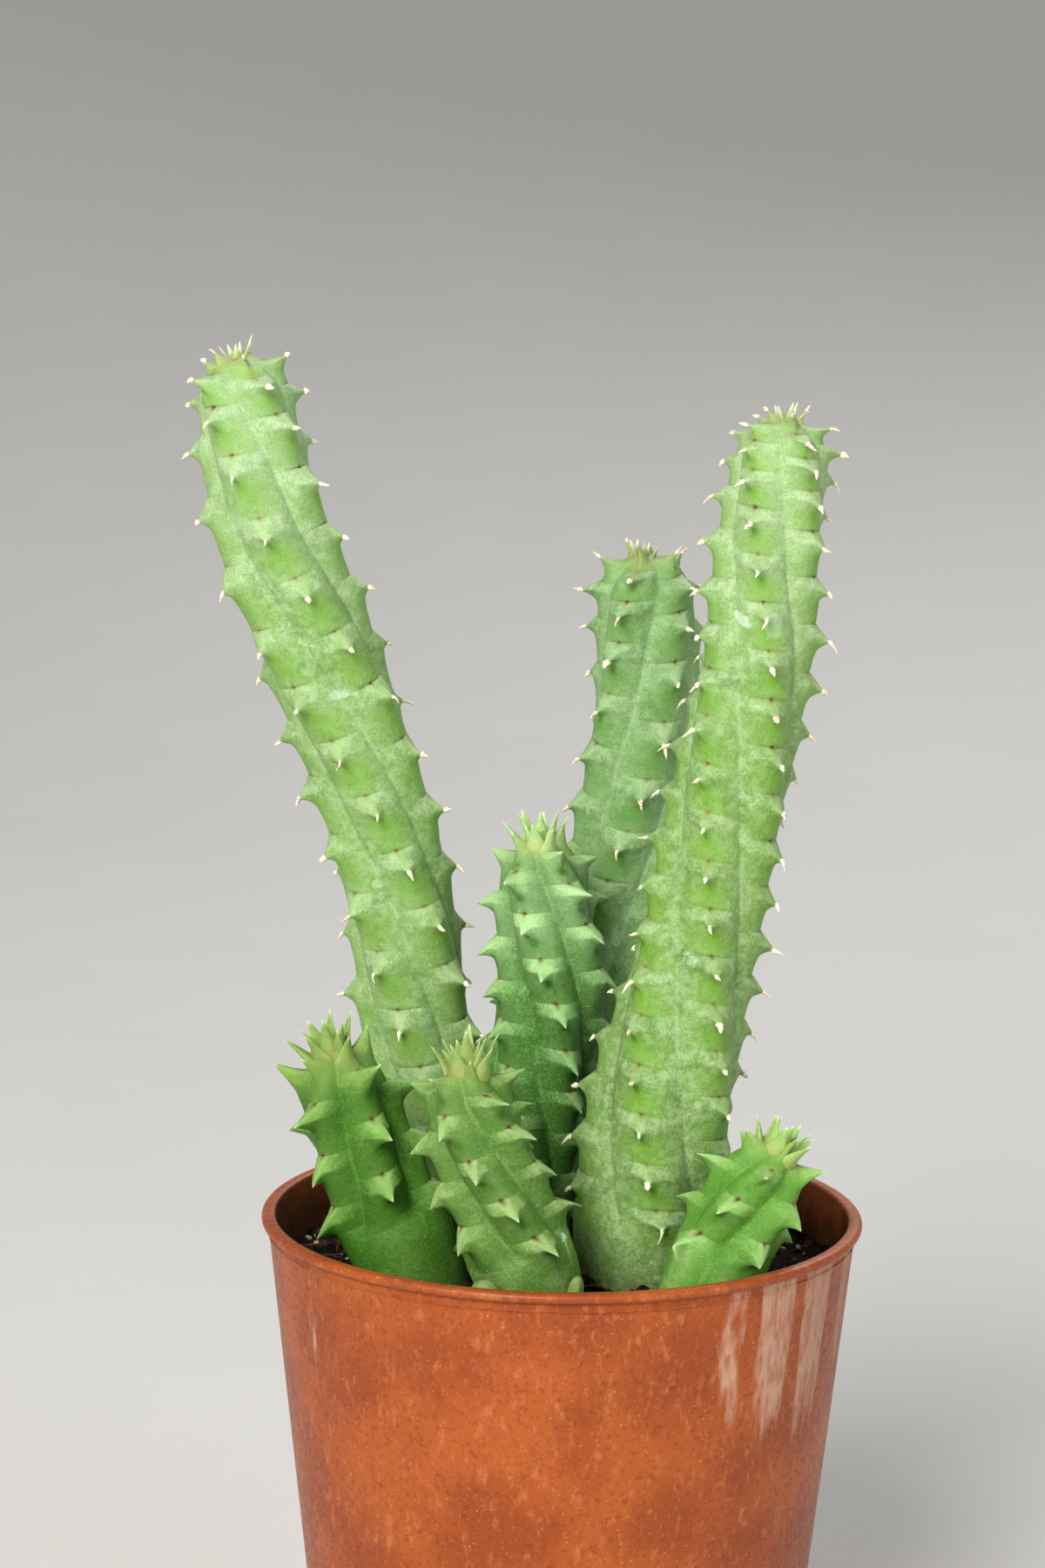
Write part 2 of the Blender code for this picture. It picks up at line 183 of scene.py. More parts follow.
def scatter(*numbers):
    """A repeatable number from 0 to 1 for each set of whole numbers."""
    mixed = np.zeros(np.broadcast(*numbers).shape, np.int64)
    for number, prime in zip(numbers, (73856093, 19349663, 83492791, 49979687)):
        mixed = mixed ^ (np.asarray(number, np.int64)*prime)
    mixed = (mixed ^ (mixed >> 13))*1274126177
    return ((mixed ^ (mixed >> 16)) & 0xffff)/0xffff


def lumps(points, size, seed):
    """Smooth noise from -1 to 1 at each point, with lumps of about the given size."""
    place = points/size
    cell = np.floor(place).astype(np.int64)
    part = place - cell
    part = part*part*(3 - 2*part)
    total = 0
    for corner in range(8):
        step = (corner & 1, corner >> 1 & 1, corner >> 2)
        share = 1
        for way in range(3):
            share = share*(part[..., way] if step[way] else 1 - part[..., way])
        total = total + share*scatter(*(cell[..., way] + step[way] for way in range(3)), seed)
    return 2*total - 1


def bell(distance, width):
    return np.exp(-(distance/width)**2)


def ease(value, start, end):
    """0 before start and 1 after end, smoothly between."""
    part = np.clip((value - start)/(end - start), 0, 1)
    return part*part*(3 - 2*part)


def smooth_curve(points, steps=24):
    """Points along the Catmull-Rom curve through the given ones."""
    given = np.array(points, float)
    given = np.concatenate([2*given[:1] - given[1:2], given, 2*given[-1:] - given[-2:-1]])
    part = np.linspace(0, 1, steps, endpoint=False)
    part = part.reshape((-1,) + (1,)*(given.ndim - 1))
    spans = []
    for before, start, end, after in zip(given, given[1:], given[2:], given[3:]):
        bend = 2*before - 5*start + 4*end - after
        twist = 3*start - 3*end + after - before
        spans.append(start + 0.5*((end - before)*part + bend*part**2 + twist*part**3))
    return np.concatenate(spans + [given[-2:-1]])


# The stems.

class Axis:
    """The middle line of a stem, read at any length along it."""

    def __init__(self, stem):
        self.points = smooth_curve(stem.path)*MM
        steps = np.linalg.norm(np.diff(self.points, axis=0), axis=1)
        self.marks = np.concatenate([[0], np.cumsum(steps)])
        self.length = self.marks[-1]

    def at(self, along):
        return np.stack([np.interp(along, self.marks, self.points[:, way]) for way in range(3)], -1)

    def frames(self, along):
        """Unit vectors up the stem, out of its front and out of its side."""
        step = 0.6*MM
        up = self.at(np.minimum(along + step, self.length)) - self.at(np.maximum(along - step, 0))
        up /= np.linalg.norm(up, axis=-1, keepdims=True)
        front = FRONT - (up @ FRONT)[..., None]*up
        front /= np.linalg.norm(front, axis=-1, keepdims=True)
        return up, front, np.cross(up, front)


class Skin:
    """A stem's surface at any row up it and any angle off the crest of a rib.

    Each row has one tooth, so the next tooth of the same rib is RIBS rows higher.
    """

    def __init__(self, stem, seed):
        self.stem, self.growth, self.seed = stem, stem.growth, seed
        self.axis = Axis(stem)
        length = self.axis.length
        marks = np.linspace(stem.bare*MM, length, MARKS_UP_A_STEM)
        crown = self.growth.crown*MM
        into_crown = np.clip((marks - length + crown)/crown, 0, 1)
        pitch = stem.pitch*MM*(1 - (1 - self.growth.crowding)*into_crown)
        pitch = pitch*np.maximum(self.dome(marks), 0.05)
        count = np.concatenate([[0], np.cumsum(np.diff(marks)*RIBS/pitch[1:])])
        self.rows = round(count[-1])
        self.newest = self.rows - 1
        self.marks, self.pitches, self.counts = marks, pitch, count*self.rows/count[-1]

    def dome(self, along):
        into_dome = np.clip(1 - (self.axis.length - along)/(self.growth.dome*MM), 0, 1)
        return np.sqrt(1 - into_dome**2)

    def body_radius(self, along):
        curve = smooth_curve(self.stem.radii)*MM
        radius = np.interp(along/self.axis.length, np.linspace(0, 1, len(curve)), curve)
        into_foot = np.clip(1 - along/FOOT_HEIGHT, 0, 1)
        return radius*self.dome(along)**self.growth.taper*np.sqrt(1 - FOOT_TAPER*into_foot**2)

    def locate(self, row, rib, off, along):
        """Where each point lies on the stem, and to the nearest tooth of its rib."""
        softness = self.growth.softness
        above = ((row - 3*self.stem.hand*rib)/RIBS + 1 - CREASE) % 1 - 1 + CREASE
        tooth = np.rint(row - above*RIBS)
        radius = self.body_radius(along)
        pitch = np.interp(along, self.marks, self.pitches)
        return SimpleNamespace(
            row=row, rib=rib, off=off, above=above, tooth=tooth, radius=radius, pitch=pitch,
            up_rib=above*pitch, beside=radius*off, dome=self.dome(along),
            own=(tooth >= 0) & (tooth <= self.newest) & (row >= 0),
            age=np.clip(self.newest - tooth, 0, None)/RIBS,
            rows_down=np.clip(self.newest - row, 0, None)/RIBS,
            vary=scatter(tooth, rib, self.seed, 5),
            crest=np.hypot(np.cos(RIBS*off/2), softness)/math.hypot(1, softness))

    def bulge(self, spot):
        """How far a rib swells round its teeth, steeply above each and slowly below."""
        upper = np.clip(1 - spot.above/CREASE, 0, 1)**0.85
        lower = np.clip(1 + spot.above/(1 - CREASE), 0, 1)**2.2
        plump = 0.75 + 0.5*scatter(spot.tooth, spot.rib, self.seed, 8)
        full = self.growth.swelling*MM*plump*np.minimum(1, 0.3 + 0.5*spot.age)
        return full*np.where(spot.above >= 0, upper, lower)*spot.crest**2*spot.own

    def tooth_form(self, spot):
        """How far up its tooth each point is, as a share and a length, and the tooth's lean."""
        growth, up_rib, age = self.growth, np.abs(spot.up_rib), spot.age
        across = np.abs(spot.beside)/np.clip(spot.radius*0.55, 0.05*MM, growth.root_beside*MM)
        along_up = up_rib/np.clip(spot.pitch*CREASE, 0.02*MM, growth.root_above*MM)
        along_down = up_rib/np.clip(spot.pitch*0.7, 0.05*MM, growth.root_below*MM)
        flat_top = (across**3 + along_up**3)**(1/3)
        keeled = (across**1.5 + along_down**1.5)**(1/1.5)
        hollow = growth.hollow + 0.5*np.clip(along_down, 0, 1)*(spot.above < 0)
        hollow += 0.4*ease(age, 1.2, 0.6)
        up_tooth = np.clip(1 - np.where(spot.above >= 0, flat_top, keeled), 0, 1)
        share = up_tooth**hollow*spot.own
        length = growth.tooth*MM*np.interp(age, LENGTH_AGES, LENGTH_SHARES)*(0.75 + 0.4*spot.vary)
        length *= ease(age, 0, FULL_AGE)
        lean = np.radians(np.interp(age, LEAN_AGES, growth.leans) + 24*(spot.vary - 0.5))
        return share, length*share, lean

    def mark_creases(self, spot):
        """Note how deep the crease above a tooth and its pit are at each point, from 0 to 1."""
        growth = self.growth
        to_crease = np.minimum(np.abs(spot.above - CREASE), spot.above + 1 - CREASE)*spot.pitch
        below = np.where(spot.above > 0, spot.tooth, spot.tooth - RIBS)
        spot.creased = (below >= 0) & (below <= self.newest - 2) & (spot.row >= 0)
        depth = growth.crease*(0.25 + 0.75*scatter(below, spot.rib, self.seed, 7))
        length = np.minimum((1 + 1.6*depth)*MM, 0.5*spot.radius)
        spot.crease = depth*bell(to_crease, CREASE_WIDTH)*spot.creased
        spot.crease *= np.clip(1 - (spot.beside/length)**2, 0, 1)
        pit = bell(np.hypot(to_crease, spot.beside*0.8), growth.pit*MM*(0.6 + 0.7*spot.vary))
        faintness = growth.crease*(0.9 - 0.8*depth)
        spot.pit = pit*spot.creased*ease(spot.age, 0.6, 1.6)*(1 - faintness)
        spot.to_pit = np.hypot(to_crease, spot.beside)

    def place(self, row, rib, off, along=None):
        """Points in space, and how each lies to its tooth, for arrays of one shape."""
        stem, growth, seed = self.stem, self.growth, self.seed
        if along is None:
            along = np.interp(row, self.counts, self.marks)
        spot = self.locate(row, rib, off, along)
        self.mark_creases(spot)
        share, cone, lean = self.tooth_form(spot)
        up, front, side = self.axis.frames(along)
        facing = np.radians(stem.turn + stem.twist*row/RIBS) + rib*RIB_ANGLE + off
        outward = np.cos(facing)[..., None]*front + np.sin(facing)[..., None]*side

        furrow = growth.furrow*(1 - spot.crest)*np.clip(row, 0, 1)
        skin = spot.radius*(1 - furrow) + self.bulge(spot)
        skin = skin - CREASE_DEPTH*spot.crease - PIT_DEPTH*spot.pit
        middle = self.axis.at(along)
        rough = middle + outward*skin[..., None]
        spot.to_valley = (math.pi/RIBS - np.abs(off))*spot.radius
        valley = bell(spot.to_valley, VALLEY_WIDTH)*np.clip(row, 0, 1)*spot.dome
        skin = skin - growth.valley*MM*valley*(0.6 + 0.6*lumps(rough, 5*MM, seed + 2))
        (broad, broad_size), (fine, fine_size), (sway, sway_size) = BROAD_LUMPS, FINE_LUMPS, SWAY
        uneven = broad*lumps(rough, broad_size, seed) + fine*lumps(rough, fine_size, seed + 1)
        skin = skin + (1 - share)*spot.dome*uneven

        old = spot.age > DROOP_AGE
        curl = growth.droop*MM*np.where(old, -1, 0.6)*share**2
        rise = cone*np.sin(lean) + np.where(old, curl, 0)
        reach = skin + cone*np.cos(lean) + np.where(old, 0, curl)
        points = middle + outward*reach[..., None] + up*rise[..., None]
        askew = scatter(spot.tooth, rib, seed, 6) - 0.5
        sway = sway*(1 - spot.crest)*spot.dome*lumps(rough, sway_size, seed + 4)
        points = points + np.cross(up, outward)*(sway + 0.7*cone*askew)[..., None]
        spot.share, spot.lean, spot.up, spot.outward = share, lean, up, outward
        return points, spot


def scarred(points, outward, scars):
    """How strong the ragged scars are at each point."""
    found = np.zeros(points.shape[:-1])
    ragged = 0.25*lumps(points, 0.5*MM, 51)
    for x, z, half_length, half_width, tilt, strength in scars:
        turn = math.radians(tilt)
        right, up = points[..., 0]/MM - x, points[..., 2]/MM - z
        along = (right*math.cos(turn) + up*math.sin(turn))/half_length
        across = (up*math.cos(turn) - right*math.sin(turn))/half_width
        inside = ease(1 + ragged - np.hypot(along, across), -0.1, 0.1)
        found = np.maximum(found, strength*inside)
    return found*(outward @ FRONT > 0.2)


def skin_marks(points, spot, scars):
    """The masks that colour the skin, from 0 to 1 at each point."""
    up_rib, beside = spot.up_rib, spot.beside
    lower_side = (up_rib < 0)*spot.own
    under = bell(up_rib + 1.5*MM, 1.3*MM)*bell(beside, 1*MM)*lower_side
    flank = bell(up_rib + 2.2*MM, 2.3*MM)*bell(beside, 2.4*MM)*lower_side
    half_kite = 0.12*MM + 0.6*np.clip(up_rib, 0, 1.2*MM)
    top = spot.creased*(up_rib > 0)*ease(half_kite - np.abs(beside), -0.08*MM, 0.08*MM)
    return {
        # Below each tooth: its own fresher green, and painted shade under the tooth.
        "under_tooth_green_and_shade": np.maximum(under, 0.75*flank),
        # How near the furrow: painted shade darkens the skin there, and painted light pales the
        # crests away from it.
        "furrow": bell(spot.to_valley, 1.5*MM),
        "halo": bell(spot.to_pit, 0.38*MM)*spot.creased,
        "scar": scarred(points, spot.outward, scars),
        "ledge": bell(up_rib - 1*MM, 0.9*MM)*bell(beside, 1.7*MM)*spot.creased,
        "blush": ease(spot.rows_down, 1.1, 0.1)*(1 - spot.share)**2,
        # The top of each tooth: its paler skin, and painted light where it faces up.
        "pale_and_lit_facet": np.clip(top, 0, 1),
        "pale_tip": ease(spot.share, 0.78, 1),
        "pit": np.clip(spot.pit*1.3, 0, 1),
        # Where the crease is; its dark coat is painted shade.
        "crease": spot.crease,
        "valley": bell(spot.to_valley, 0.2*MM),
        "newness": np.clip(1 - spot.rows_down/1.6, 0, 1),
    }


def rib_columns():
    """Angles off a crest, closest together on the crest and in the furrow."""
    part = np.linspace(-1, 1, COLUMNS_TO_A_RIB, endpoint=False)
    return math.pi/RIBS*(part - CROWDING*np.sin(2*math.pi*part)/(2*math.pi))


def tube_faces(rings, columns):
    """Quads between the rings and two fans that close the ends."""
    ring = np.arange(rings - 1)[:, None]*columns
    column = np.arange(columns)
    beside = (column + 1) % columns
    quads = [ring + column, ring + beside, ring + beside + columns, ring + column + columns]
    last, foot, tip = (rings - 1)*columns, rings*columns, rings*columns + 1
    fans = [(foot, after, before) for before, after in zip(column, beside)]
    fans += [(last + before, last + after, tip) for before, after in zip(column, beside)]
    return np.stack(quads, -1).reshape(-1, 4).tolist() + fans


def add_object(name, data):
    thing = bpy.data.objects.new(name, data)
    bpy.context.scene.collection.objects.link(thing)
    return thing


def add_mesh(name, points, faces, marks=None, smooth=True):
    mesh = bpy.data.meshes.new(name)
    mesh.from_pydata(np.asarray(points).tolist(), [], faces)
    for mark, values in (marks or {}).items():
        layer = mesh.attributes.new(mark, "FLOAT", "POINT")
        layer.data.foreach_set("value", np.asarray(values, np.float32).ravel())
    if smooth:
        mesh.shade_smooth()
    return add_object(name, mesh)


def turns(count):
    """Angles that part one full turn evenly."""
    return np.linspace(0, 2*math.pi, count, endpoint=False)


def closed_tube(rings, foot, tip):
    """Points and faces of a skin over rings of points, closed to a point at either end."""
    return np.concatenate([rings.reshape(-1, 3), [foot, tip]]), tube_faces(*rings.shape[:2])


class Bunch:
    """Small forms gathered into the mesh of one piece."""

    def __init__(self):
        self.points, self.faces, self.count = [], [], 0

    def add(self, points, faces):
        self.points.append(points)
        self.faces += [tuple(corner + self.count for corner in face) for face in faces]
        self.count += len(points)

    def piece(self, name, marks=None, smooth=True):
        return add_mesh(name, np.concatenate(self.points), self.faces, marks, smooth)


def dress(thing, material, replaced=None):
    thing.data.materials.clear()
    thing.data.materials.append(material)
    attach(thing, "root")
    if replaced:
        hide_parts(replaced)


def make_stem(name, stem, seed, material):
    skin = Skin(stem, seed)
    rows = (np.arange(skin.rows)[:, None] + stem.rings).ravel()
    buried = np.linspace(0, stem.bare*MM, BURIED_RINGS, endpoint=False)
    along = np.concatenate([buried, np.interp(rows, skin.counts, skin.marks)])
    rows = np.concatenate([np.linspace(-BURIED_ROWS, 0, BURIED_RINGS, endpoint=False), rows])
    rib = np.repeat(np.arange(RIBS), COLUMNS_TO_A_RIB)
    off = np.tile(rib_columns(), RIBS)
    points, spot = skin.place(*np.broadcast_arrays(rows[:, None], rib, off, along[:, None]))
    marks = {mark: np.append(values.ravel(), [0, values[-1].mean()])
             for mark, values in skin_marks(points, spot, SCARS.get(name, ())).items()}
    points, faces = closed_tube(points, points[0].mean(axis=0), skin.axis.points[-1])
    piece = add_mesh(name.replace("stem", "skin"), points, faces, marks)
    dress(piece, material, name)
    return skin


# The newest teeth, a tuft of narrow keeled spikes round the growing tip.
SPIKE_RINGS = 12
SPIKE_SIDES = 14
SPIKE_ROOT = -0.3
SPIKE_BEND = 0.16
SPIKE_FRONT = 0.62
SPIKE_BACK = 0.3
GOLDEN_ANGLE = 2.39996

# The tufts: how far their spikes reach from the tip's middle, and how far up each turns pale.
OLD_TUFT = dict(count=5, reach=1.2*MM, length=1.7*MM, width=0.9*MM, pale_from=0.2)
YOUNG_TUFT = dict(count=9, reach=1.9*MM, length=3.1*MM, width=1.9*MM, pale_from=0.8)


def spike(root, aim, outward, length, width):
    """Points and faces of one spike, bent outwards, and how far up it each point is."""
    part = np.linspace(SPIKE_ROOT, 0.97, SPIKE_RINGS)
    side = np.cross(aim, outward)
    side /= np.linalg.norm(side)
    back = np.cross(side, aim)
    up_it = np.clip(part, 0, 1)
    middle = root + aim*length*part[:, None] + back*(SPIKE_BEND*length*up_it**2)[:, None]
    taper = (1 - up_it)**0.85*(1 + 0.25*bell(part, 0.25))
    angles = turns(SPIKE_SIDES)
    across, deep = np.cos(angles), np.sin(angles)
    deep = np.where(deep > 0, deep*SPIKE_FRONT*(1 - 0.25*np.abs(across)), deep*SPIKE_BACK)
    spread = across[:, None]*side + deep[:, None]*back
    rings = middle[:, None] + spread*(0.5*width*taper)[:, None, None]
    points, faces = closed_tube(rings, middle[0], middle[-1] + aim*0.05*length)
    return points, faces, np.append(np.repeat(up_it, SPIKE_SIDES), [0, 1])


def make_tuft(name, skin, material, slot, count, reach, length, width, pale_from):
    """One piece of the loose spikes that stand round a stem's growing tip."""
    marks_up = np.linspace(skin.axis.length - skin.growth.dome*MM, skin.axis.length, 200)
    radii = skin.body_radius(marks_up)
    bunch, ups = Bunch(), []
    for number in range(count):
        luck = scatter(number, skin.seed, np.arange(2), 9)
        out = reach*(0.25 + 0.75*number/count)
        along = np.interp([-out], -radii, marks_up)
        up, front, side = (vectors[0] for vectors in skin.axis.frames(along))
        angle = GOLDEN_ANGLE*number + 0.5*luck[0]
        outward = math.cos(angle)*front + math.sin(angle)*side
        tilt = math.radians(6 + 26*number/count)
        aim = up*math.cos(tilt) + outward*math.sin(tilt)
        root = skin.axis.at(along)[0] + outward*out - up*0.15*length
        size = length*(0.75 + 0.4*luck[1]), width*(0.8 + 0.3*luck[0])
        points, faces, up_it = spike(root, aim, outward, *size)
        bunch.add(points, faces)
        ups.append(up_it)
    ups = np.concatenate(ups)
    marks = {"newness": 0.7 - 0.5*ups, "pale_tip": ease(ups, pale_from, 1),
             "blush": 0.7*bell(ups, 0.3)}
    dress(bunch.piece(name.replace("stem", "crown"), marks), material)


# New shoots that just show near the foot of the front stem: foot, tip and radius in mm.
BUDS = (((-6.9, -20.2, 43.5), (-6.9, -20.2, 49.1), 1.5),
        ((0.6, -17.2, 44.5), (1.2, -18, 48.9), 0.75))


def make_buds(material):
    bunch = Bunch()
    rings, sides = 16, 30
    angles = turns(sides)
    around = np.stack([np.cos(angles), np.sin(angles), 0*angles], -1)
    for foot, tip, radius in BUDS:
        foot, tip = np.array(foot)*MM, np.array(tip)*MM
        part = np.linspace(0, 0.99, rings)[:, None]**0.6
        widths = radius*MM*np.sqrt(1 - part**6)*(1 + 0.07*np.cos(RIBS*angles))
        skin = (foot + (tip - foot)*part)[:, None] + widths[..., None]*around
        bunch.add(*closed_tube(skin, foot, tip))
    marks = {"newness": np.full(bunch.count, 0.15), "blush": np.full(bunch.count, 0.3)}
    dress(bunch.piece("buds", marks), material)


# Dried tips of the old teeth, short knobs or hooked horns. A profile gives the widths from root
# to tip, as shares of the thickness.
HORN_SIDES = 9
HORN_RINGS = 7
HORN_ROOT = -0.25
HORN_DEPTH = 0.7
KNOB_SHARE = 0.45
KNOB_PROFILE = (0.8, 1.05, 1.05, 0.9, 0.8, 0.6, 0.3)
HOOK_PROFILE = (0.8, 1.1, 1, 0.8, 0.62, 0.42, 0.12)


def horn(root, aim, sag, length, widths):
    """Points and faces of one horn, bent from aim towards sag."""
    part = np.linspace(HORN_ROOT, 1, HORN_RINGS)[:, None]
    middle = root + aim*length*part + sag*length*np.clip(part, 0, 1)**2
    side = np.cross(aim, sag)
    side /= max(np.linalg.norm(side), 1e-9)
    other = np.cross(side, aim)
    angles = turns(HORN_SIDES)
    spread = np.cos(angles)[:, None]*side + HORN_DEPTH*np.sin(angles)[:, None]*other
    rings = middle[:, None] + spread*widths[..., None]
    return closed_tube(rings, middle[0], middle[-1] + aim*0.05*MM)


def make_horns(name, skin, material):
    """One piece of the dried tips of a stem's full-grown teeth."""
    bunch, shades = Bunch(), []
    for tooth in range(skin.newest):
        rib = 2*skin.stem.hand*tooth % RIBS
        place, spot = skin.place(np.array([float(tooth)]), np.array([rib]), np.zeros(1))
        age, lean, up, outward = spot.age[0], spot.lean[0], spot.up[0], spot.outward[0]
        if age < FULL_AGE:
            continue
        luck = scatter(tooth, rib, skin.seed, np.arange(6))
        aim = outward*math.cos(lean) + up*math.sin(lean)
        sag = up*(0.3 - luck[0]) + np.cross(up, outward)*(luck[1] - 0.5)*1.2
        if luck[2] > KNOB_SHARE:
            length, thickness, profile = 0.6 + 0.45*luck[3], 0.22, HOOK_PROFILE
        else:
            length, thickness, profile = 0.38 + 0.22*luck[3], 0.25 + 0.12*luck[5]**3, KNOB_PROFILE
        thickness = thickness*min(1, 0.4 + 0.6*age)*MM
        ring = np.arange(HORN_RINGS)[:, None]
        uneven = 0.7 + 0.6*scatter(ring, np.arange(HORN_SIDES), tooth, skin.seed)
        widths = thickness*np.array(profile)[:, None]*uneven
        points, faces = horn(place[0] - aim*0.1*MM, aim, sag, length*MM, widths)
        bunch.add(points, faces)
        shades.append(np.full(len(points), luck[4]))
    piece = bunch.piece(name.replace("stem", "tips"), {"shade": np.concatenate(shades)})
    dress(piece, material)


# Materials, whose patterns are measured in millimetres of object space.

class Look:
    """A material in the making, whose colour is laid on in coats over a first one."""

    def __init__(self, name, colour):
        self.material = bpy.data.materials.new(name)
        self.material.use_nodes = True
        self.tree = self.material.node_tree
        self.shader, self.colour = self.tree.nodes["Principled BSDF"], colour
        self.place = self.scaled(self.add("TexCoord", "Object", {}), (1000, 1000, 1000))

    def set(self, socket, value):
        if isinstance(value, bpy.types.NodeSocket):
            self.tree.links.new(value, socket)
        else:
            socket.default_value = (*value, 1) if socket.type == "RGBA" else value

    def add(self, kind, output, inputs, **settings):
        """Add a node with its settings and inputs, and give one of its outputs."""
        node = self.tree.nodes.new("ShaderNode" + kind)
        for name, value in settings.items():
            setattr(node, name, value)
        for name, value in inputs.items():
            self.set(node.inputs[name], value)
        return node.outputs[output]

    def scaled(self, vector, scale):
        return self.add("Mapping", "Vector", {"Vector": vector, "Scale": scale})

    def noise(self, size, detail=2, rough=0.5, stretch=(1, 1, 1)):
        place = self.scaled(self.place, stretch)
        inputs = {"Vector": place, "Scale": 1/size, "Detail": detail, "Roughness": rough}
        return self.add("TexNoise", "Fac", inputs)

    def cell_edges(self, size, bend=0):
        """How far each place is from the edges of cells, which bend by the given mm."""
        noise = self.add("TexNoise", "Color", {"Vector": self.place, "Scale": 2/size})
        inputs = {0: noise, 1: (bend, bend, bend), 2: self.place}
        bent = self.add("VectorMath", "Vector", inputs, operation="MULTIPLY_ADD")
        inputs = {"Vector": bent, "Scale": 1/size}
        return self.add("TexVoronoi", "Distance", inputs, feature="DISTANCE_TO_EDGE")

    def ramp(self, value, low, high, start=0, end=1):
        inputs = {"Value": value, "From Min": low, "From Max": high, "To Min": start, "To Max": end}
        return self.add("MapRange", "Result", inputs, interpolation_type="SMOOTHSTEP")

    def times(self, first, second):
        return self.add("Math", "Value", {0: first, 1: second}, operation="MULTIPLY")

    def plus(self, first, second):
        return self.add("Math", "Value", {0: first, 1: second}, operation="ADD")

    def mark(self, name):
        return self.add("Attribute", "Fac", {}, attribute_name=name)

    def height(self):
        return self.add("SeparateXYZ", "Z", {0: self.place})

    def bump(self, height, distance, strength=1):
        inputs = {"Strength": strength, "Distance": distance, "Height": height}
        return self.add("Bump", "Normal", inputs)

    def coat(self, colour, share, strength=None):
        """Lay a colour over what is there, by the share of it that shows."""
        share = share if strength is None else self.times(share, strength)
        inputs = {"Factor": share, 6: self.colour, 7: colour}
        self.colour = self.add("Mix", 2, inputs, data_type="RGBA")

    def finish(self, **sockets):
        """Set the shader's sockets, each named with _ for its spaces, and give the material."""
        for name, value in {"Base_Color": self.colour, **sockets}.items():
            self.set(self.shader.inputs[name.replace("_", " ")], value)
        return self.material


# The tones of one stem, in linear light. frost is the strength of its grain, crackle that of its
# bark-like lines, ledge how pale the skin is below a crease, and furrow how strongly painted shade
# darkens the green between the ribs and painted light pales the crests. Painted shade darkens it
# below one height in mm, and it pales by a share from one height to another, partly painted light
# on the upper part. patch is the green below a tooth, partly its own fresh green and partly painted
# shade under the tooth, and the painted shade of the furrows; facet is the tooth's top, partly
# painted light; and crown the newest growth.
OLD_TIP = (0.78, 0.75, 0.52)
YOUNG_TIP = (0.72, 0.78, 0.46)
Tones = namedtuple("Tones", "frost crackle ledge facet_share furrow deepens pales ground bloom "
                   "deep patch facet valley crown tip", defaults=[YOUNG_TIP])
TONES = {
    "stem_tall_left": Tones(
        0.6, 0.6, 0.15, 0.35, 0, 40, (98, 122, 0.5),
        (0.2, 0.345, 0.085), (0.4, 0.545, 0.31), (0.11, 0.23, 0.04), (0.16, 0.345, 0.03),
        (0.33, 0.48, 0.19), (0.44, 0.6, 0.34), (0.32, 0.42, 0.12), OLD_TIP),
    "stem_tall_right": Tones(
        0.5, 0.7, 0.15, 0.35, 0, 55, (90, 118, 0.6),
        (0.155, 0.28, 0.055), (0.4, 0.55, 0.29), (0.085, 0.18, 0.025), (0.14, 0.32, 0.02),
        (0.28, 0.42, 0.15), (0.4, 0.56, 0.3), (0.28, 0.38, 0.1), OLD_TIP),
    "stem_back": Tones(
        0.6, 0.4, 0.15, 0.35, 0, 40, (70, 120, 0.1),
        (0.18, 0.325, 0.11), (0.36, 0.53, 0.285), (0.1, 0.21, 0.055), (0.12, 0.29, 0.045),
        (0.36, 0.52, 0.27), (0.42, 0.58, 0.36), (0.3, 0.4, 0.12), OLD_TIP),
    "stem_middle": Tones(
        0.35, 0, 0.35, 0.4, 0.7, 75, (70, 79, 0.95),
        (0.145, 0.335, 0.062), (0.43, 0.66, 0.3), (0.035, 0.135, 0.01), (0.02, 0.1, 0.004),
        (0.32, 0.55, 0.22), (0.22, 0.42, 0.15), (0.42, 0.58, 0.18)),
    "stem_short_left": Tones(
        0.35, 0, 0.3, 0.3, 0.8, 60, (60, 68, 0.2),
        (0.095, 0.235, 0.022), (0.23, 0.41, 0.1), (0.035, 0.13, 0.007), (0.02, 0.1, 0.002),
        (0.3, 0.52, 0.17), (0.12, 0.27, 0.04), (0.33, 0.46, 0.12)),
    "stem_short_front": Tones(
        0.4, 0.2, 0.25, 0.3, 0.65, 57, (60, 68, 0.2),
        (0.14, 0.27, 0.038), (0.33, 0.47, 0.185), (0.055, 0.14, 0.011), (0.03, 0.12, 0.005),
        (0.36, 0.57, 0.24), (0.22, 0.38, 0.12), (0.34, 0.46, 0.12)),
    "stem_short_right": Tones(
        0.4, 0, 0.3, 0.3, 0.9, 50, (55, 62, 0.2),
        (0.19, 0.4, 0.07), (0.33, 0.54, 0.19), (0.1, 0.27, 0.022), (0.05, 0.19, 0.005),
        (0.38, 0.61, 0.23), (0.24, 0.43, 0.1), (0.36, 0.48, 0.13)),
}

# Coats that every living skin gets over its own tones: mark, colour and strength. The crease's dark
# green is painted shade in the crease.
SKIN_COATS = (("blush", (0.33, 0.2, 0.09), 0.45), ("halo", (0.3, 0.26, 0.08), 0.4),
              ("crease", (0.1, 0.11, 0.025), 0.35), ("scar", (0.48, 0.64, 0.44), None),
              ("pit", (0.07, 0.03, 0.012), None))
SOIL = (0.08, 0.06, 0.03)


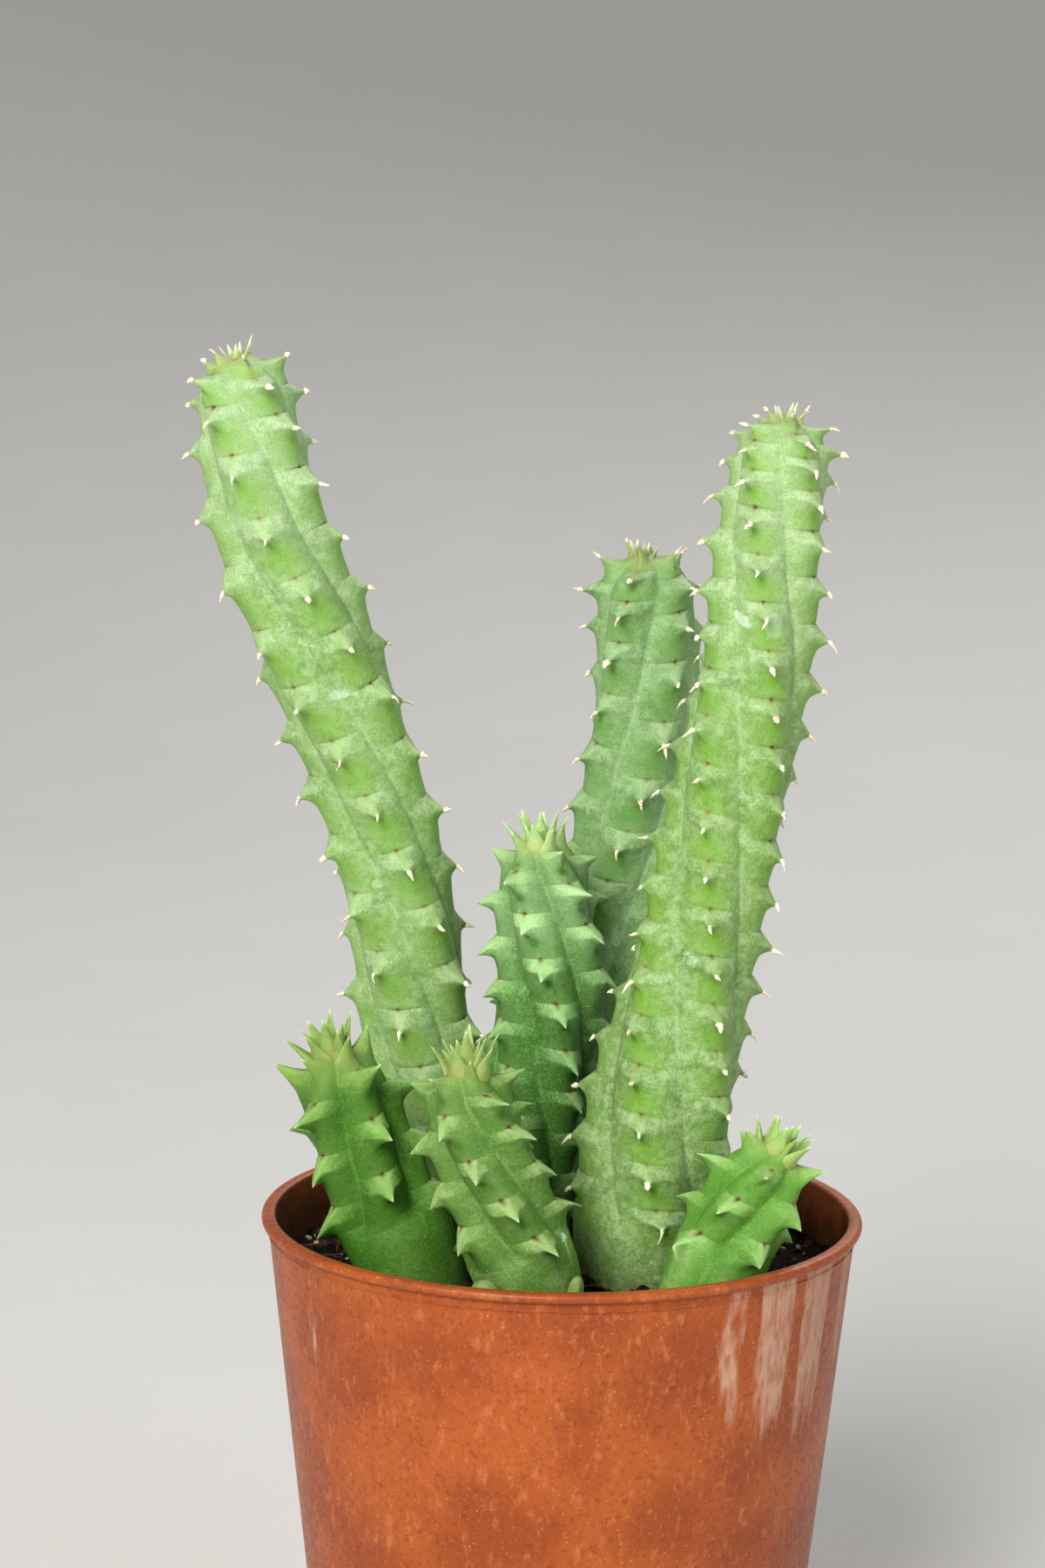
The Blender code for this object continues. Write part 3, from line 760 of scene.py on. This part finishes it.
def green_ground(look, tones, clouds, mottle):
    """The green of the body, with its bloom, pale ledges and paler tops, partly painted light,
    painted light on the crests, and painted shade in the furrows and on the lower part.
    """
    look.coat(tones.ground, look.ramp(clouds, 0.3, 0.55))
    pales_from, pales_to, paleness = tones.pales
    # Paler towards the top: partly its bloom, partly painted light on the upper part.
    ledge = look.times(look.mark("ledge"), tones.ledge)
    ledge = look.plus(ledge, look.ramp(look.height(), pales_from, pales_to, 0, paleness))
    look.coat(tones.bloom, look.plus(look.ramp(mottle, 0.38, 0.68, 0.05, 0.6), ledge))
    # Painted light on the crests, and painted shade in the furrows.
    furrow = look.mark("furrow")
    look.coat(tones.bloom, look.ramp(furrow, 0.3, 0, 0, 0.4*tones.furrow))
    look.coat(tones.patch, furrow, tones.furrow)
    # Painted shade on the lower part of the stem: deep green below the given height.
    deepens = tones.deepens
    look.coat(tones.deep, look.ramp(look.height(), deepens - 14, deepens, 0.75, 0))


def frost_and_crackle(look, tones, clouds, peel):
    """The frosty grain of the skin, and the dark bark-like lines of its lower part."""
    frost = tones.frost
    patches = look.ramp(look.noise(1.7, 4, 0.6), 0.635, 0.65)
    look.coat(tones.valley, patches, frost)
    look.coat(tones.valley, look.mark("valley"), look.ramp(clouds, 0.45, 0.6, 0, 0.5))
    grain = look.noise(0.14, 3, 0.7)
    for noise, high, pale, low, dark in ((peel, 0.7, 0.6, 0.32, 0.6), (grain, 0.62, 0.8, 0.38, 0.7)):
        look.coat(tones.bloom, look.ramp(noise, 0.5, high, 0, pale*frost))
        look.coat(tones.deep, look.ramp(noise, 0.5, low, 0, dark*frost))
    look.coat(tones.deep, look.ramp(look.cell_edges(0.3), 0, 0.16, 1, 0), 0.2)
    crackle = look.ramp(look.cell_edges(2.4, 1.5), 0, 0.03, 1, 0)
    crackle = look.times(crackle, look.ramp(clouds, 0.4, 0.55, 0, tones.crackle))
    look.coat(tones.deep, crackle, look.ramp(look.height(), 78, 58, 0.12, 1))


def tooth_colours(look, tones, mottle):
    """Green below each tooth, partly its own fresh green and partly painted shade under it, a pale
    top, partly painted light where it faces up, a pale tip, and a pit in its crease, with painted
    shade along the crease.
    """
    # Painted shade under each tooth, over its own fresher green.
    look.coat(tones.patch, look.mark("under_tooth_green_and_shade"), look.ramp(mottle, 0.25, 0.6, 0.6, 0.95))
    # Paler top of each tooth, partly painted light on its upward face.
    look.coat(tones.facet, look.mark("pale_and_lit_facet"), tones.facet_share)
    strokes = look.ramp(look.noise(0.16, 2, 0.5, (1.6, 1, 0.5)), 0.69, 0.76)
    look.coat(tones.tip, strokes, tones.frost)
    look.coat(tones.crown, look.mark("newness"), 0.8)
    for mark, colour, strength in SKIN_COATS:
        look.coat(colour, look.mark(mark), strength)
    look.coat(tones.tip, look.mark("pale_tip"))


def green_skin(name, tones):
    """Mottled green under a pale speckled bloom, with greener patches below the teeth that are
    partly painted shade, and brown pits.
    """
    look = Look(name, tones.deep)
    clouds = look.noise(3.5, 3)
    mottle = look.noise(0.9, 3)
    peel = look.noise(0.33, 4, 0.7)
    green_ground(look, tones, clouds, mottle)
    frost_and_crackle(look, tones, clouds, peel)
    tooth_colours(look, tones, mottle)
    near_compost = look.ramp(look.height(), 45.2, 47.5, 0.6, 0)
    look.coat(SOIL, near_compost, look.ramp(mottle, 0.35, 0.6))
    wrinkles = look.noise(0.8, 3, 0.6, (0.8, 0.8, 1.4))
    relief = look.plus(look.times(peel, tones.frost), wrinkles)
    return look.finish(
        Roughness=look.ramp(mottle, 0.3, 0.7, 0.42, 0.6), Normal=look.bump(relief, 0.09*MM, 0.8),
        Subsurface_Weight=0.08, Subsurface_Scale=0.6*MM, Subsurface_Radius=(0.5, 1, 0.25),
        Specular_IOR_Level=0.15)


def dried_tip():
    """Dead horny skin, straw to cream, and browner on some tips."""
    look = Look("dried_tip", (0.66, 0.53, 0.28))
    grain = look.noise(0.18, 3, 0.6)
    look.coat((0.86, 0.82, 0.64), look.ramp(grain, 0.35, 0.55))
    brown = look.ramp(look.mark("shade"), 0.6, 1, 0.1, 0.7)
    look.coat((0.22, 0.11, 0.04), brown, look.ramp(grain, 0.52, 0.42))
    return look.finish(Roughness=look.ramp(grain, 0.3, 0.7, 0.55, 0.8),
                       Normal=look.bump(grain, 0.05*MM))


def pot_plastic():
    """Thin moulded plastic, scuffed and speckled, with limescale in upright runs, and an inside
    darkened by painted shade and blotchy stains.
    """
    look = Look("pot_plastic_look", (0.26, 0.049, 0.009))
    fine = look.noise(0.5, 4, 0.6)
    look.coat((0.36, 0.078, 0.014), look.ramp(look.noise(9, 3), 0.35, 0.65))
    look.coat((0.17, 0.03, 0.007), look.ramp(fine, 0.48, 0.72, 0, 0.65))
    scuffs = look.noise(0.9, 5, 0.7, (1, 1, 0.45))
    look.coat((0.52, 0.17, 0.06), look.ramp(scuffs, 0.53, 0.68, 0, 0.45))
    specks = look.noise(0.22, 2, 0.6)
    look.coat((0.70, 0.42, 0.26), look.ramp(specks, 0.66, 0.76, 0, 0.7))
    # Inside: painted shade, darker deeper down, with blotchy stains.
    blotches = look.ramp(look.noise(2.5, 4, 0.6), 0.3, 0.7, 0.8, 1)
    inside_shade_and_stains = look.times(look.ramp(look.height(), 45.5, 49.6, 1, 0.7), blotches)
    look.coat((0.03, 0.011, 0.006), look.mark("inside"), inside_shade_and_stains)
    upright = look.noise(2.2, 3, 0.55, (1, 1, 0.22))
    ragged = look.plus(look.mark("limescale"), look.times(upright, 1.3))
    streaks = look.noise(0.7, 4, 0.6, (1, 1, 0.3))
    scale = look.times(look.ramp(ragged, 1.08, 1.32), look.ramp(streaks, 0.3, 0.65, 0.3, 1))
    look.coat((0.56, 0.38, 0.28), scale, 0.65)
    roughness = look.plus(look.ramp(fine, 0.3, 0.7, 0.32, 0.5), look.times(scale, 0.35))
    relief = look.plus(look.times(fine, 0.5), scale)
    return look.finish(Roughness=roughness, Normal=look.bump(relief, 0.05*MM, 0.8),
                       Specular_IOR_Level=0.25)


def compost_look(name, dark, light, pale_share):
    """Damp crumbly matter, dark to light in clods, with pale grains."""
    look = Look(name, dark)
    clods = look.noise(1.1, 4, 0.65)
    grain = look.noise(0.25, 4, 0.7)
    look.coat(light, look.ramp(clods, 0.4, 0.7))
    look.coat((0.30, 0.24, 0.17), look.ramp(grain, 0.66, 0.74, 0, pale_share))
    relief = look.plus(clods, look.times(grain, 0.5))
    return look.finish(Roughness=look.ramp(grain, 0.3, 0.7, 0.75, 0.98),
                       Normal=look.bump(relief, 0.3*MM), Specular_IOR_Level=0.06)


# The pot and what fills it.

def round_axis(radius, angle, height):
    """Points round the pot's axis, with angles from the front."""
    parts = np.broadcast_arrays(radius*np.sin(angle), -radius*np.cos(angle), height)
    return np.stack(parts, -1)


def wall_radius(height):
    top = RIM_RADIUS - RIM_OVERHANG
    return BASE_RADIUS + (top - BASE_RADIUS)*height/(POT_HEIGHT - RIM_DEPTH)


COMPOST_EDGE = wall_radius(COMPOST_TOP) - WALL - 0.15*MM


def arc(centre, radius, start, end, steps):
    """Radius and height pairs round part of a circle, in degrees from outwards to upwards."""
    angles = np.radians(np.linspace(start, end, steps))
    return [(centre[0] + radius*math.cos(a), centre[1] + radius*math.sin(a)) for a in angles]


def pot_profile():
    """From the middle of the underside, up the outside, over the rim and down to the floor."""
    under, line = POT_HEIGHT - RIM_DEPTH, MOULDING_LINE
    bead, foot, lip, corner = RIM_DEPTH/2, 0.5*MM, 0.3*MM, 0.6*MM
    outline = [(0, 0.25*MM), (BASE_RADIUS*0.8, 0.25*MM), (BASE_RADIUS*0.85, 0)]
    outline += arc((BASE_RADIUS - foot, foot), foot, -90, 0, 6)
    outline += [(wall_radius(h), h) for h in np.linspace(1.2*MM, under - 1.1*MM, 40)]
    outline += [(wall_radius(line - 0.15*MM), line - 0.15*MM),
                (wall_radius(line) + 0.12*MM, line - 0.05*MM),
                (wall_radius(line) + 0.13*MM, line + 0.05*MM),
                (wall_radius(line + 0.15*MM), line + 0.15*MM),
                (wall_radius(under - 0.1*MM), under - 0.1*MM)]
    outline += arc((RIM_RADIUS - bead, POT_HEIGHT - bead), bead, -70, 90, BEAD_STEPS)
    outline += arc((wall_radius(under) - WALL + lip, POT_HEIGHT - lip), lip, 90, 180, 5)
    outline += [(wall_radius(h) - WALL, h) for h in np.linspace(under - 1*MM, FLOOR + 1*MM, 30)]
    outline += arc((wall_radius(FLOOR) - WALL - corner, FLOOR + corner), corner, 0, -90, 5)
    outline += [(r*MM, FLOOR) for r in (19, 17, 15, 13, 11, 8, 4, 0)]
    return np.array(outline)


def uneven_rings(outline, angles):
    """The outline turned round the axis, out of round and wavy near the rim."""
    radius, height = outline[:, None, 0], outline[:, None, 1]
    high = ease(height, 30*MM, 49*MM)
    sway = 0.12*np.sin(3*angles + 0.6) + 0.06*np.sin(7*angles + 2) - 0.18
    nicks = 0.05*MM*lumps(round_axis(20*MM, angles, 0), 1.3*MM, 11)
    radius = radius + high*OUT_OF_ROUND*sway + bell(height - MOULDING_LINE, 0.2*MM)*nicks
    wave = RIM_WAVE*(np.sin(2*angles + 1)*(height > 40*MM) - 1)
    return round_axis(radius, angles, height + high*wave)


def pot_marks(outline, angles, height):
    """Masks of the pot's inside, and of the limescale on its outside, densest near the rim."""
    order = np.arange(len(outline))[:, None]
    top = np.argmax(outline[:, 1])
    inside = np.broadcast_to(order > top + 2, height.shape)
    bands = np.zeros(POT_SIDES)
    for angle, half, strength in SCALE_BANDS:
        bands = np.maximum(bands, strength*ease(half - np.abs(angles - angle), -0.03, 0.03))
    limescale = (order <= top - BEAD_STEPS)*bands*(0.15 + 0.85*ease(height, 26*MM, 46*MM))
    return {"inside": np.append(inside, [0, 1]), "limescale": np.append(limescale, [0, 0])}


def take_out(thing, cutters):
    """Cut the cutters out of the thing for good, and delete them."""
    for cutter in cutters:
        cut = thing.modifiers.new("cut", "BOOLEAN")
        cut.operation = "DIFFERENCE"
        cut.object = cutter
    evaluated = thing.evaluated_get(bpy.context.evaluated_depsgraph_get())
    mesh = bpy.data.meshes.new_from_object(evaluated)
    thing.modifiers.clear()
    thing.data = mesh
    for cutter in cutters:
        bpy.data.objects.remove(cutter, do_unlink=True)


def make_pot(material):
    profile, angles = pot_profile(), turns(POT_SIDES)
    outline = profile[1:-1]
    rings = uneven_rings(outline, angles)
    ends = [(0, 0, profile[end, 1]) for end in (0, -1)]
    marks = pot_marks(outline, angles, rings[..., 2])
    pot = add_mesh("pot_shell", *closed_tube(rings, *ends), marks)
    holes = []
    for angle in turns(DRAIN_HOLES):
        place = tuple(round_axis(DRAIN_CIRCLE, angle, FLOOR/2))
        bpy.ops.mesh.primitive_cylinder_add(
            vertices=40, radius=DRAIN_RADIUS, depth=4*FLOOR, location=place)
        holes.append(bpy.context.object)
    take_out(pot, holes)
    pot.data.set_sharp_from_angle(angle=math.radians(50))
    dress(pot, material, "pot")


def compost_height(x, y):
    waves = sum(np.sin(ax*x + ay*y + start) for ax, ay, start in COMPOST_WAVES)
    fade = np.clip(1 - np.hypot(x, y)/COMPOST_EDGE, 0, 1)**0.5
    return COMPOST_TOP + WAVE_HEIGHT*waves*fade


def crumbs(points):
    """How far the crumbly surface stands above or below the compost's level."""
    return (0.35*lumps(points, 2.3*MM, 21) + 0.3*lumps(points, 1*MM, 22)
            + 0.16*lumps(points, 0.5*MM, 23))*MM


def make_compost(material):
    """The filling, with a rough top and plain sides."""
    rings, sides = 110, 260
    angles = turns(sides)
    top = round_axis(COMPOST_EDGE*np.linspace(1, 0.004, rings)[:, None], angles, COMPOST_TOP)
    top[..., 2] = compost_height(top[..., 0], top[..., 1]) + crumbs(top)
    bottom = FLOOR + CLEARANCE
    bevel, walls = 1*MM, []
    for height in (bottom, bottom + bevel, 15*MM, 30*MM, 42*MM):
        inner = wall_radius(max(height, bottom + bevel)) - WALL - CLEARANCE
        inner -= bevel if height == bottom else 0
        walls.append(round_axis(inner, angles, height))
    points, faces = closed_tube(
        np.concatenate([walls, top]), (0, 0, bottom), (0, 0, top[-1, :, 2].mean()))
    dress(add_mesh("compost_fill", points, faces), material, "compost")


def chance_spot(reach, luck):
    """A spot on the compost, in its middle part, which reaches this share of the way out."""
    radius, angle = COMPOST_EDGE*reach*math.sqrt(luck[0]), 2*math.pi*luck[1]
    return radius*math.sin(angle), -radius*math.cos(angle)


def pebble(centre, size, seed):
    """A small lumpy stone or crumb, from a squashed ball."""
    shape = bmesh.new()
    bmesh.ops.create_icosphere(shape, subdivisions=1, radius=1)
    points = np.array([vertex.co[:] for vertex in shape.verts])
    faces = [tuple(vertex.index for vertex in face.verts) for face in shape.faces]
    shape.free()
    points = points*(1 + 0.35*lumps(points, 0.9, seed)[:, None])*size
    turn = np.array(Matrix.Rotation(seed*2.399, 3, "Z") @ Matrix.Rotation(seed*1.7, 3, "X"))
    return points @ turn.T + centre, faces


def make_crumbs(name, material, count, sizes, flatness, seed):
    """Loose bits that lie on the compost, from the least size to the greatest, in mm."""
    bunch = Bunch()
    smallest, largest = sizes
    for number in range(count):
        luck = scatter(number, seed, np.arange(4), 3)
        x, y = chance_spot(0.97, luck)
        z = float(compost_height(x, y) + crumbs(np.array([x, y, COMPOST_TOP])))
        size = (smallest + (largest - smallest)*luck[2]**2)*MM
        form = np.array([size, size*(0.5 + 0.5*luck[3]), size*flatness])
        bunch.add(*pebble(np.array([x, y, z + 0.15*size]), form, seed + number))
    dress(bunch.piece(name, smooth=False), material)


def make_fibres(material, count):
    """Thin bowed threads of coir that lie on the compost."""
    bunch = Bunch()
    rings, sides = 7, 4
    part = np.linspace(-1, 1, rings)[:, None]
    corners = turns(sides)[:, None]
    for number in range(count):
        luck = scatter(number, np.arange(7), 77)
        x, y = chance_spot(0.93, luck)
        z = float(compost_height(x, y)) + 0.45*MM
        way = 2*math.pi*luck[2]
        ahead = np.array([math.cos(way), math.sin(way), 0.5*(luck[3] - 0.5)])
        aside = np.array([-math.sin(way), math.cos(way), 0.2])
        half = (0.35 + 1.1*luck[4]**2)*MM
        middle = np.array([x, y, z]) + ahead*half*part + aside*half*(luck[5] - 0.5)*part**2
        thick = (0.03 + 0.05*luck[6])*MM
        spread = np.cos(corners)*aside + np.sin(corners)*np.array([0, 0, 1])
        bunch.add(*closed_tube(middle[:, None] + thick*spread, middle[0], middle[-1]))
    dress(bunch.piece("compost_fibres"), material)


# The lights of the studio: name, place and size in metres, power in watts, and tint.
LIGHTS = (("key", (-0.3, -0.62, 0.52), 0.45, 9.5, (1, 0.98, 0.95)),
          ("fill", (0.6, -0.5, 0.3), 0.6, 2.2, (0.95, 0.98, 1)),
          ("back", (0.2, 0.6, 0.6), 0.4, 2.5, (1, 1, 1)))
LIGHT_AIM = Vector((0, 0, 0.07))

# The photograph's own viewpoint, fitted to the rim's ellipse, in metres, degrees and lens mm.
CAMERA_AIM = Vector((-0.004145, 0, 0.089293))
CAMERA_DISTANCE = 0.329205
CAMERA_ELEVATION = 8.755
CAMERA_ROLL = 0.775
CAMERA_LENS = 84


def make_floor():
    """A pale floor that curves up far away on every side and shows no edge."""
    look = Look("studio_floor", (0.62, 0.61, 0.59))
    look.coat((0.65, 0.64, 0.62), look.noise(40, 2))
    outline = [(0.2, 0), (0.35, 0)] + arc((0.5, 0.9), 0.9, -90, 0, 40) + [(1.4, 1.3)]
    radius, height = np.array(outline).T[..., None]
    points, faces = closed_tube(round_axis(radius, turns(96), height), [0]*3, [0]*3)
    lid = len(points) - 1
    floor = add_mesh("floor", points, [face for face in faces if lid not in face])
    floor.data.materials.append(look.finish(Roughness=0.8, Specular_IOR_Level=0.2))


def add_light(name, place, size, power, tint):
    lamp = bpy.data.lights.new(name, "AREA")
    lamp.shape, lamp.size, lamp.energy, lamp.color = "DISK", size, power, tint
    thing = add_object(name, lamp)
    thing.location = place
    thing.rotation_euler = (LIGHT_AIM - Vector(place)).to_track_quat("-Z", "Y").to_euler()


def make_studio():
    world = bpy.data.worlds.new("studio")
    world.use_nodes = True
    background = world.node_tree.nodes["Background"]
    background.inputs["Color"].default_value = (0.86, 0.88, 0.9, 1)
    background.inputs["Strength"].default_value = 0.22
    bpy.context.scene.world = world
    bpy.context.scene.view_settings.view_transform = "Standard"
    for light in LIGHTS:
        add_light(*light)
    make_floor()


def make_camera():
    elevation, roll = math.radians(CAMERA_ELEVATION), math.radians(CAMERA_ROLL)
    turn = Matrix.Rotation(math.pi/2 - elevation, 4, "X") @ Matrix.Rotation(roll, 4, "Z")
    away = Matrix.Translation((0, 0, CAMERA_DISTANCE))
    camera = bpy.data.cameras.new("camera")
    camera.lens, camera.sensor_width, camera.clip_start = CAMERA_LENS, 36, 0.01
    thing = add_object("camera", camera)
    thing.matrix_world = Matrix.Translation(CAMERA_AIM) @ turn @ away
    bpy.context.scene.camera = thing


def make_filling():
    """The compost, with the bark, grit and coir threads that lie on it."""
    soil = compost_look("compost_look", (0.003, 0.002, 0.0015), (0.016, 0.009, 0.006), 0.5)
    bark = compost_look("bark_look", (0.015, 0.008, 0.004), (0.06, 0.032, 0.018), 0.3)
    grit = compost_look("grit_look", (0.32, 0.25, 0.17), (0.55, 0.48, 0.36), 0.2)
    fibre = compost_look("fibre_look", (0.05, 0.025, 0.012), (0.14, 0.08, 0.04), 0.1)
    make_compost(soil)
    make_crumbs("compost_bark", bark, count=900, sizes=(0.2, 1), flatness=0.55, seed=100)
    make_crumbs("compost_grit", grit, count=170, sizes=(0.12, 0.5), flatness=0.8, seed=1900)
    make_fibres(fibre, count=260)


def make_plant():
    """Each stem with the tuft at its tip, and the horns of the old ones."""
    dry = dried_tip()
    for seed, (name, stem) in enumerate(STEMS.items(), FIRST_SEED):
        aged = stem.growth is AGED
        slot = "old_stem" if aged else "young_stem"
        material = green_skin(name.replace("stem", "look"), TONES[name])
        skin = make_stem(name, stem, seed, material)
        if name == "stem_short_front":
            make_buds(material)
        make_tuft(name, skin, material, slot, **(OLD_TUFT if aged else YOUNG_TUFT))
        if aged:
            make_horns(name, skin, dry)


make_camera()
make_studio()
make_pot(pot_plastic())
make_filling()
make_plant()
